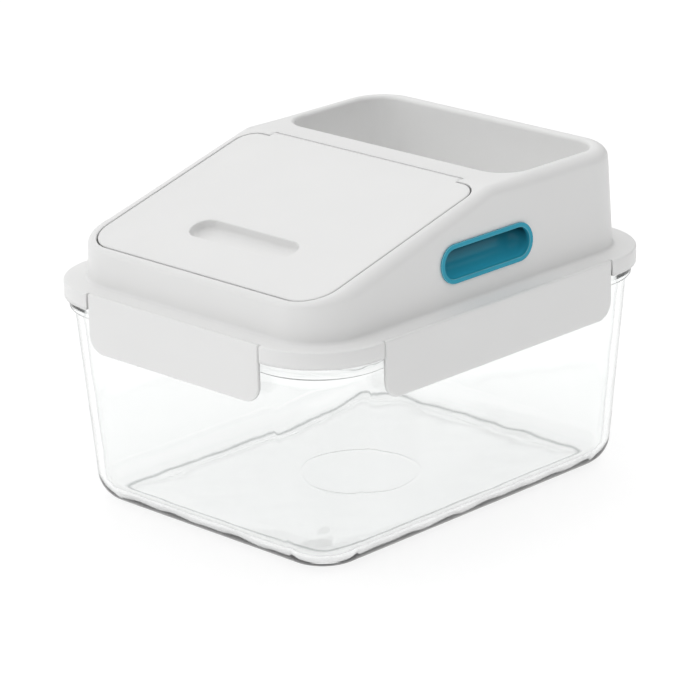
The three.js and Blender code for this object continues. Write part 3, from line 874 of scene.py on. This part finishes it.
def pull_loop(u, size, grow, depth):
    """Loop of the finger recess moved outwards, at a depth below the slope."""
    half = size.pull_width / 2 + grow
    points = rounded(
        u, size.pull_length / 2 + grow, size.pull_up - half, size.pull_up + half, half * 0.98, half * 0.98
    )
    return on_slope(points[:, 0], points[:, 1], np.full(len(u), depth))


class CANISTER_OT_door(bpy.types.Operator):
    """Flap door: plate with a rounded edge, finger recess and hinge barrel with its pivots"""

    bl_idname = "canister.door"
    bl_label = "Flap door"

    def execute(self, context):
        size = context.scene.canister_door
        u, tab = door_turn()
        rim, floor = 0.0009, 0.0032
        pull = []
        for a in np.radians(np.linspace(90, 0, 8)):
            depth = size.pull_depth - floor * (1 - math.sin(a))
            pull.append(pull_loop(u, size, -floor * (1 - math.cos(a)), depth))
        middle = on_slope(np.array(0.0), np.array(size.pull_up), np.array(size.pull_depth))
        loops = to_centre(pull[0], 6, middle)[::-1] + pull
        for a in np.radians(np.linspace(90, 0, 6)):
            loops.append(pull_loop(u, size, rim * (1 - math.sin(a)), rim * (1 - math.cos(a))))
        back = BARREL_SETBACK + size.barrel - 0.0002
        outer = door_loop(u, tab, -size.edge, np.zeros(len(u)), back - size.edge, TAB_WIDER)
        inner = loops[-1]
        loops += over_roof(inner, outer, 9)[1:]
        for a in np.radians(np.linspace(0, 90, 6))[1:]:
            out = size.edge * (math.sin(a) - 1)
            depth = np.full(len(u), size.edge * (1 - math.cos(a)))
            loops.append(door_loop(u, tab, out, depth, back + out, TAB_WIDER))
        loops.append(door_loop(u, tab, 0, np.full(len(u), 0.0014), back, TAB_WIDER))
        skin = [(np.stack(loops), True)]
        door = make_piece("door_flap", skin, "door", ["flap_door"], 50, size.thick)
        for piece in (door, hinge_barrel(size)):
            piece.data.materials.append(white_plastic(context.scene.canister_finish))
        return {"FINISHED"}


def hinge_barrel(size):
    """Barrel and its two pivots: a radius that changes along the hinge axis, turned round it."""
    pivot, pivot_long, chamfer = 0.0013, 0.003, 0.0005
    end, tip = BARREL_HALF, BARREL_HALF + pivot_long
    along = np.array([tip, tip, end, end, end - chamfer])
    along = np.concatenate([-along, along[::-1]])
    radius = np.array([0, pivot, pivot, size.barrel - chamfer, size.barrel])
    radius = np.concatenate([radius, radius[::-1]])
    a = np.linspace(0, 2 * math.pi, 28, endpoint=False)
    y = HINGE[1] + radius[:, None] * np.cos(a)
    z = HINGE[2] + radius[:, None] * np.sin(a)
    x = np.broadcast_to(along[:, None], y.shape)
    return make_piece("door_barrel", [(np.stack([x, y, z], 2), True)], "door", [], sharp=40)


# ---------------------------------------------------------------- latches


def latch_plate(half, size):
    """Latch as loops of its face outline, from the middle of its back round its edge to its front.

    Local axes are along the edge, outwards from the latch's back, and up from the flange top. The
    outline is a rectangle with round lower corners; each loop is it moved inwards at some depth.
    """
    u = np.concatenate(
        [
            np.linspace(0, 2, 9)[:-1],
            np.linspace(2, 3, 41)[:-1],
            np.linspace(3, 5, 9)[:-1],
            np.linspace(5, 6, 15)[:-1],
            np.linspace(6, 7, 41)[:-1],
            np.linspace(7, 8, 15)[:-1],
        ]
    )
    back_edge = 0.0004

    def loop(inset, out):
        corner = size.corner - inset
        face = rounded(u, half - inset, inset - size.drop, -inset, corner, 0.0006)
        return np.stack([face[:, 0], np.full(len(u), out), face[:, 1]], 1)

    back = [loop(back_edge, 0), loop(back_edge * 0.3, back_edge * 0.3), loop(0, back_edge)]
    rise = LATCH_THICK - EDGE_ROUND
    front = []
    for a in np.radians(np.linspace(0, 90, 7)):
        front.append(loop(EDGE_ROUND * (1 - math.cos(a)), rise + EDGE_ROUND * math.sin(a)))
    return np.stack(to_centre(back[0], 5)[::-1] + back + front + to_centre(front[-1], 5))


def snap_rib(half, size):
    """Rib along the inside of a latch: a rounded wedge profile carried straight along it."""
    high, low = -0.0215, -0.0275
    profile = np.array([[0.0006, high], [-size.rib * 0.8, high - 0.0008], [-size.rib, high - 0.0022]])
    profile = np.concatenate([profile, [[-size.rib * 0.7, low + 0.0016], [0.0006, low]]])
    along = np.linspace(-half, half, 30)
    shrink = np.clip((half - np.abs(along)) / 0.003, 0, 1)[None]
    middle = np.array([0.0006, (high + low) / 2])
    section = middle + (profile[:, None] - middle) * shrink[..., None]
    rib = np.concatenate([np.broadcast_to(along[None, :, None], section.shape[:2] + (1,)), section], 2)
    return np.concatenate([rib, rib[:1]])


def beside_lid(surface, turn, reach):
    """A latch's surface turned to its side of the lid, with its back against the flange."""
    c, s = math.cos(turn), math.sin(turn)
    x, y = surface[..., 0], surface[..., 1] + reach - LATCH_THICK
    return np.stack([-x * c - y * s, -x * s + y * c, surface[..., 2] + FLANGE_TOP], -1)


class CANISTER_OT_latches(bpy.types.Operator):
    """Four latches: long plates that fold down from the flange, each with a snap rib inside"""

    bl_idname = "canister.latches"
    bl_label = "Latches"

    def execute(self, context):
        size = context.scene.canister_latch
        places = [
            ("back", LATCH_END["x"], HALF_Y, 0),
            ("left", LATCH_END["y"], HALF_X, math.pi / 2),
            ("front", LATCH_END["x"], HALF_Y, math.pi),
            ("right", LATCH_END["y"], HALF_X, -math.pi / 2),
        ]
        for word, half, reach, turn in places:
            plate = beside_lid(latch_plate(half, size), turn, reach)
            rib = beside_lid(snap_rib(half - 0.02, size), turn, reach)
            skin = [(plate, True), (rib, False)]
            latch = make_piece(
                f"latch_{word}_plate", skin, f"{word}_latch", [f"latch_{word}"], 50
            )
            latch.data.materials.append(white_plastic(context.scene.canister_finish))
        return {"FINISHED"}


# ---------------------------------------------------------------- finger grips


class CANISTER_OT_grips(bpy.types.Operator):
    """Two finger grips: glossy cups whose rounded rim stands proud of the wall"""

    bl_idname = "canister.grips"
    bl_label = "Finger grips"

    def execute(self, context):
        size = context.scene.canister_grip
        turn = np.linspace(0, 2 * math.pi, 145)[:-1]
        turn = turn - 0.16 * np.sin(2 * turn)
        low, high, edge, mouth, fillet, thick = 0.0003, 0.0015, 0.0006, 0.0007, 0.0078, 0.0011
        profile = np.concatenate(
            [
                [[0, low]],
                arc(-edge, high - edge, edge, 0, 90, 4),
                arc(mouth - size.rim, high - mouth, mouth, 90, 180, 6),
                line([-size.rim, high - mouth], [-size.rim, fillet - size.depth], 4)[:-1],
                arc(-size.rim - fillet, fillet - size.depth, fillet, 0, -90, 12),
            ]
        )
        for word, side in (("left", -1), ("right", 1)):
            origin, along, up, out = grip_frame(side)
            loops = []
            for grow, rise in profile:
                plan = stadium(turn, size.long + 2 * grow, size.high + 2 * grow)
                loops.append(origin + plan[:, :1] * along + plan[:, 1:] * up + rise * out)
            loops += to_centre(loops[-1], 5)
            skin = [(np.stack(loops), True)]
            grip = make_piece(
                f"grip_{word}_cup", skin, "lid", [f"grip_insert_{word}"], 50, thick
            )
            grip.data.materials.append(teal_plastic(context.scene.canister_finish))
        return {"FINISHED"}


# ---------------------------------------------------------------- materials


def new_finish(name, base, roughness):
    """A material with a Principled BSDF, its node tree and the shader, ready for detail."""
    known = bpy.data.materials.get(name)
    if known:
        return known, None, None
    finish = bpy.data.materials.new(name)
    finish.use_nodes = True
    tree = finish.node_tree
    shader = tree.nodes["Principled BSDF"]
    shader.inputs["Base Color"].default_value = (*base, 1)
    shader.inputs["Roughness"].default_value = roughness
    return finish, tree, shader


def object_noise(tree, scale, detail=3.0):
    """Noise over the object's own coordinates, with its scale in waves for each metre."""
    place = tree.nodes.new("ShaderNodeTexCoord")
    noise = tree.nodes.new("ShaderNodeTexNoise")
    noise.inputs["Scale"].default_value = scale
    noise.inputs["Detail"].default_value = detail
    tree.links.new(place.outputs["Object"], noise.inputs["Vector"])
    return noise


def moulded_grain(tree, shader, scale, height):
    """Fine texture left by the mould, as a bump."""
    noise = object_noise(tree, scale, 4)
    bump = tree.nodes.new("ShaderNodeBump")
    bump.inputs["Strength"].default_value = 0.5
    bump.inputs["Distance"].default_value = height
    tree.links.new(noise.outputs["Fac"], bump.inputs["Height"])
    tree.links.new(bump.outputs["Normal"], shader.inputs["Normal"])


def between(tree, value, low, high, socket):
    """Maps the middle part of a noise, 0.3 to 0.7, onto a narrow range and links it to a socket."""
    spread = tree.nodes.new("ShaderNodeMapRange")
    spread.inputs["From Min"].default_value = 0.3
    spread.inputs["From Max"].default_value = 0.7
    spread.inputs["To Min"].default_value = low
    spread.inputs["To Max"].default_value = high
    tree.links.new(value, spread.inputs["Value"])
    tree.links.new(spread.outputs["Result"], socket)


def colour_mix(tree, share_of_second, first, second):
    """Mix of two colours, each fixed or another node's output."""
    mix = tree.nodes.new("ShaderNodeMix")
    mix.data_type = "RGBA"
    tree.links.new(share_of_second, mix.inputs[0])
    for socket, value in zip(mix.inputs[6:8], (first, second)):
        if isinstance(value, bpy.types.NodeSocket):
            tree.links.new(value, socket)
        else:
            socket.default_value = (*value, 1)
    return mix.outputs[2]


def calculate(tree, operation, first, second):
    """Math node on two values, each a number or another node's output.

    Products and maxima are kept between 0 and 1.
    """
    node = tree.nodes.new("ShaderNodeMath")
    node.operation = operation
    node.use_clamp = operation in ("MAXIMUM", "MULTIPLY")
    for socket, value in zip(node.inputs, (first, second)):
        if isinstance(value, bpy.types.NodeSocket):
            tree.links.new(value, socket)
        else:
            socket.default_value = value
    return node.outputs[0]


def mottle(tree, shader, base, scale, spread):
    """Very slight lighter and darker clouds in the colour, as in moulded plastic."""
    noise = object_noise(tree, scale, 2)
    darker = [c * (1 - spread) for c in base]
    lighter = [min(1, c * (1 + spread)) for c in base]
    clouds = colour_mix(tree, noise.outputs["Fac"], darker, lighter)
    tree.links.new(clouds, shader.inputs["Base Color"])


def white_plastic(look):
    """Satin white polypropylene: fine spark-eroded grain, faint clouds and uneven gloss."""
    finish, tree, shader = new_finish("satin_white", look.white, look.satin)
    if tree:
        mottle(tree, shader, look.white, 24, 0.012)
        moulded_grain(tree, shader, 1500, 0.00005)
        uneven = object_noise(tree, 60).outputs["Fac"]
        between(tree, uneven, look.satin - 0.05, look.satin + 0.05, shader.inputs["Roughness"])
        shader.inputs["IOR"].default_value = 1.49
        shader.inputs["Subsurface Weight"].default_value = 0.08
        shader.inputs["Subsurface Radius"].default_value = (0.004, 0.004, 0.0038)
        shader.inputs["Subsurface Scale"].default_value = 1.0
    return finish


def painted_cup_shade_and_highlight(tree, shader, base):
    """Painted light over a cup: painted highlights on the two edges of its rim, and painted shade up inside
    it, lighter towards its foot.

    How far a point stands out of the drafted wall tells edges, rim and inside apart.
    """
    foot, climb = 0.0095, 65  # depth of the foot below the grip's middle, and how fast the painted shade darkens for each metre up
    inner, sink = 0.0002, 400  # where the inside with its painted shade begins, and how fast for each metre inwards
    edge_out, edge_half = 0.0011, 0.0004  # where the painted highlights on the rim's edges lie, and half their width
    place = tree.nodes.new("ShaderNodeTexCoord")
    split = tree.nodes.new("ShaderNodeSeparateXYZ")
    tree.links.new(place.outputs["Object"], split.inputs[0])
    draft = math.tan(DOME_DRAFT)
    up = calculate(tree, "SUBTRACT", split.outputs["Z"], FLANGE_TOP + GRIP_UP)
    out = calculate(tree, "ABSOLUTE", split.outputs["X"], 0)
    mouth = HALF_X - DOME_INSET - GRIP_UP * draft
    lean = calculate(tree, "DIVIDE", up, 1 / draft)
    proud = calculate(tree, "SUBTRACT", calculate(tree, "ADD", out, lean), mouth)
    high = calculate(tree, "MULTIPLY", calculate(tree, "ADD", up, foot), climb)
    deep = calculate(tree, "MULTIPLY", calculate(tree, "SUBTRACT", inner, proud), sink)
    off_edge = calculate(tree, "ABSOLUTE", calculate(tree, "SUBTRACT", proud, edge_out), 0)
    falling = calculate(tree, "SUBTRACT", 1, calculate(tree, "DIVIDE", off_edge, edge_half))
    edge = calculate(tree, "MAXIMUM", falling, 0)
    # Painted shade inside the cup: 1.5 times the colour at its foot, falling to 0.1 times up under its top.
    inside = colour_mix(tree, high, [min(1, c * 1.5) for c in base], [c * 0.1 for c in base])
    body = colour_mix(tree, deep, shader.inputs["Base Color"].links[0].from_socket, inside)
    # Painted highlight: a lighter teal along both edges of the rim.
    painted_rim_highlight = colour_mix(tree, calculate(tree, "MULTIPLY", edge, 0.6), body, (0.30, 0.64, 0.72))
    tree.links.new(painted_rim_highlight, shader.inputs["Base Color"])


def teal_plastic(look):
    """Glossy teal plastic: deep colour, painted shade inside the cups and painted highlights on their rim
    edges, thin clear gloss and a very soft waviness.
    """
    finish, tree, shader = new_finish("glossy_teal", look.teal, look.gloss)
    if tree:
        mottle(tree, shader, look.teal, 60, 0.05)
        # Painted shade inside the cups and painted highlights on their rim edges.
        painted_cup_shade_and_highlight(tree, shader, look.teal)
        moulded_grain(tree, shader, 220, 0.00006)
        uneven = object_noise(tree, 90).outputs["Fac"]
        between(tree, uneven, look.gloss - 0.05, look.gloss + 0.06, shader.inputs["Roughness"])
        shader.inputs["IOR"].default_value = 1.5
        shader.inputs["Specular IOR Level"].default_value = 0.14
    return finish


def silicone(look):
    """Translucent silicone: soft, dull and slightly cloudy."""
    finish, tree, shader = new_finish("soft_silicone", look.silicone, 0.55)
    if tree:
        mottle(tree, shader, look.silicone, 80, 0.03)
        moulded_grain(tree, shader, 900, 0.00008)
        shader.inputs["Subsurface Weight"].default_value = 0.35
        shader.inputs["Subsurface Radius"].default_value = (0.003, 0.003, 0.003)
        shader.inputs["Subsurface Scale"].default_value = 1.0
    return finish


def combine(tree, operation, first, second):
    """Vector Math node on the output of another node and a fixed vector."""
    node = tree.nodes.new("ShaderNodeVectorMath")
    node.operation = operation
    tree.links.new(first, node.inputs[0])
    node.inputs[1].default_value = second
    return node


def painted_heel_shade_line(tree, inset, width, floor):
    """Mask of a painted dark line, wavy, where the inner floor turns up into the heel: painted shade in
    place of the dark surroundings that the curved heel bends into view.

    The distance inside the lid's outline is the corner radius less the length of the part of the
    position beyond the corner centres. Noise moves that distance, the mask falls off from the
    wanted inset on both sides, and only the upper side of the floor keeps it.
    """
    waves, sway = 22, 0.012  # scale of the noise, and how far it moves the line
    place = tree.nodes.new("ShaderNodeTexCoord").outputs["Object"]
    folded = combine(tree, "ABSOLUTE", place, (0, 0, 0)).outputs[0]
    beyond = combine(tree, "SUBTRACT", folded, (HALF_X - CORNER, HALF_Y - CORNER, 1)).outputs[0]
    outside = combine(tree, "MAXIMUM", beyond, (0, 0, 0)).outputs[0]
    reach = combine(tree, "LENGTH", outside, (0, 0, 0)).outputs["Value"]
    wander = calculate(tree, "MULTIPLY", object_noise(tree, waves, 2).outputs["Fac"], sway)
    middle = CORNER - inset + sway / 2
    off_line = calculate(tree, "SUBTRACT", calculate(tree, "ADD", reach, wander), middle)
    away = calculate(tree, "ABSOLUTE", off_line, 0)
    falling = calculate(tree, "SUBTRACT", 1, calculate(tree, "DIVIDE", away, width))
    height = tree.nodes.new("ShaderNodeSeparateXYZ")
    tree.links.new(place, height.inputs[0])
    upper = calculate(tree, "GREATER_THAN", height.outputs["Z"], floor / 2)
    return calculate(tree, "MULTIPLY", calculate(tree, "MAXIMUM", falling, 0), upper)


def clear_glass(look, size):
    """Clear pressed glass: smooth, with a faint long ripple; its colour is painted grey where it is seen
    edge on and along a wavy line round the inner heel, as painted shade in place of dark refracted
    surroundings.
    """
    finish, tree, shader = new_finish("pressed_glass", look.glass, 0.0)
    line_in, line_width = 0.003, 0.0034  # the painted dark line's place inside the floor's edge, and its reach
    grey_from = 0.62  # how far side-on the glass is seen where its painted grey starts
    if tree:
        shader.inputs["Transmission Weight"].default_value = 1.0
        shader.inputs["IOR"].default_value = 1.5
        moulded_grain(tree, shader, 40, 0.00003)
        # Painted shade: grey where the glass is seen edge on, in place of dark surroundings seen through
        # it.
        facing = tree.nodes.new("ShaderNodeLayerWeight")
        facing.inputs["Blend"].default_value = 0.5
        rise = tree.nodes.new("ShaderNodeMapRange")
        rise.interpolation_type = "SMOOTHSTEP"
        rise.inputs["From Min"].default_value = grey_from
        rise.inputs["From Max"].default_value = 1.0
        tree.links.new(facing.outputs["Facing"], rise.inputs["Value"])
        # Painted shade: a dark wavy line round the inner heel.
        dark = painted_heel_shade_line(tree, floor_inset(size) + line_in, line_width, size.floor)
        painted_grey_share = calculate(tree, "MAXIMUM", rise.outputs["Result"], dark)
        tint = colour_mix(tree, painted_grey_share, look.glass, look.glass_painted_edge_shade)
        tree.links.new(tint, shader.inputs["Base Color"])
    return finish


# ---------------------------------------------------------------- stage


def table_finish(look):
    """Matt white table that glows a little, as a lit product table does, with faint clouds."""
    finish, tree, shader = new_finish("white_table", (0.30, 0.30, 0.30), 0.7)
    if tree:
        mottle(tree, shader, (0.30, 0.30, 0.30), 3, 0.004)
        shader.inputs["Specular IOR Level"].default_value = 0.2
        shader.inputs["Emission Color"].default_value = (1, 1, 1, 1)
        shader.inputs["Emission Strength"].default_value = look.table
    return finish


def overhead_sky(look):
    """World light like a wide softbox up on the left: bright along its axis, dim at the sides."""
    axis = Vector((-0.28, -0.09, 0.94)).normalized()
    dim, full = 0.1, 0.55  # light square to the axis, and the cosine to the axis where it is full
    world = bpy.data.worlds.new("studio_sky")
    world.use_nodes = True
    tree = world.node_tree
    place = tree.nodes.new("ShaderNodeTexCoord")
    towards = tree.nodes.new("ShaderNodeVectorMath")
    towards.operation = "DOT_PRODUCT"
    towards.inputs[1].default_value = axis
    ramp = tree.nodes.new("ShaderNodeMapRange")
    ramp.interpolation_type = "SMOOTHSTEP"
    ramp.inputs["From Min"].default_value = 0.0
    ramp.inputs["From Max"].default_value = full
    ramp.inputs["To Min"].default_value = dim
    ramp.inputs["To Max"].default_value = look.sky
    tree.links.new(place.outputs["Generated"], towards.inputs[0])
    tree.links.new(towards.outputs["Value"], ramp.inputs["Value"])
    background = tree.nodes["Background"]
    background.inputs["Color"].default_value = (1, 1, 1, 1)
    tree.links.new(ramp.outputs["Result"], background.inputs["Strength"])
    bpy.context.scene.world = world


def soft_light(name, place, target, size, power):
    """Square area light at a place, facing a target."""
    lamp = bpy.data.lights.new(name, "AREA")
    lamp.size = size
    lamp.energy = power
    light = bpy.data.objects.new(name, lamp)
    light.location = place
    light.rotation_euler = (Vector(target) - Vector(place)).to_track_quat("-Z", "Y").to_euler()
    bpy.context.scene.collection.objects.link(light)


def place_camera(look):
    """Camera on a sphere round its aim, turned to the azimuth and elevation, then rolled."""
    side = Vector((math.cos(look.azimuth), math.sin(look.azimuth), 0))
    flat = math.cos(look.elevation)
    back = Vector((math.sin(look.azimuth) * flat, -math.cos(look.azimuth) * flat, math.sin(look.elevation)))
    up = back.cross(side)
    right = side * math.cos(look.roll) + up * math.sin(look.roll)
    top = up * math.cos(look.roll) - side * math.sin(look.roll)
    lens = bpy.data.cameras.new("camera")
    lens.lens = look.lens
    lens.clip_start = 0.05
    lens.clip_end = 60
    camera = bpy.data.objects.new("camera", lens)
    turn = Matrix((right, top, back)).transposed().to_4x4()
    camera.matrix_world = Matrix.Translation(Vector(look.aim) + back * look.distance) @ turn
    bpy.context.scene.collection.objects.link(camera)
    bpy.context.scene.camera = camera


class CANISTER_OT_stage(bpy.types.Operator):
    """Stage: white table, overhead sky, key light and camera"""

    bl_idname = "canister.stage"
    bl_label = "Stage"

    def execute(self, context):
        look = context.scene.canister_studio
        reach, low = 8.0, -0.0003
        steps = np.linspace(-reach, reach, 9)
        x, y = np.meshgrid(steps, steps)
        mesh = bpy.data.meshes.new("table_top")
        grid = np.stack([x, y, np.full(x.shape, low)], 2).reshape(-1, 3)
        mesh.from_pydata(grid.tolist(), [], grid_quads(9, 9, 0, False).tolist())
        mesh.materials.append(table_finish(look))
        table = bpy.data.objects.new("table_top", mesh)
        context.scene.collection.objects.link(table)
        overhead_sky(look)
        soft_light("key_light", (-0.9, -1.2, 3.0), (0, 0, 0.12), 1.6, look.key)
        place_camera(look)
        context.scene.view_settings.view_transform = "Standard"
        return {"FINISHED"}


# ---------------------------------------------------------------- add-on


STEPS = (
    CANISTER_OT_stage,
    CANISTER_OT_tub,
    CANISTER_OT_lid,
    CANISTER_OT_seals,
    CANISTER_OT_door,
    CANISTER_OT_latches,
    CANISTER_OT_grips,
)


class CANISTER_PT_panel(bpy.types.Panel):
    """Sidebar panel that lists the pieces and their sizes"""

    bl_idname = "CANISTER_PT_panel"
    bl_label = "Glass Canister"
    bl_space_type = "VIEW_3D"
    bl_region_type = "UI"
    bl_category = "Canister"

    def draw(self, context):
        for step in STEPS:
            self.layout.operator(step.bl_idname)
        for name, group in SETTINGS.items():
            box = self.layout.box()
            box.label(text=group.__doc__)
            for prop in group.__annotations__:
                box.prop(getattr(context.scene, name), prop)


def register():
    for cls in (*SETTINGS.values(), *STEPS, CANISTER_PT_panel):
        bpy.utils.register_class(cls)
    for name, group in SETTINGS.items():
        setattr(bpy.types.Scene, name, PointerProperty(type=group))


def unregister():
    for name in SETTINGS:
        delattr(bpy.types.Scene, name)
    for cls in reversed((*SETTINGS.values(), *STEPS, CANISTER_PT_panel)):
        bpy.utils.unregister_class(cls)


def main():
    register()
    for step in STEPS:
        group, name = step.bl_idname.split(".")
        getattr(getattr(bpy.ops, group), name)()


if __name__ == "__main__":
    main()
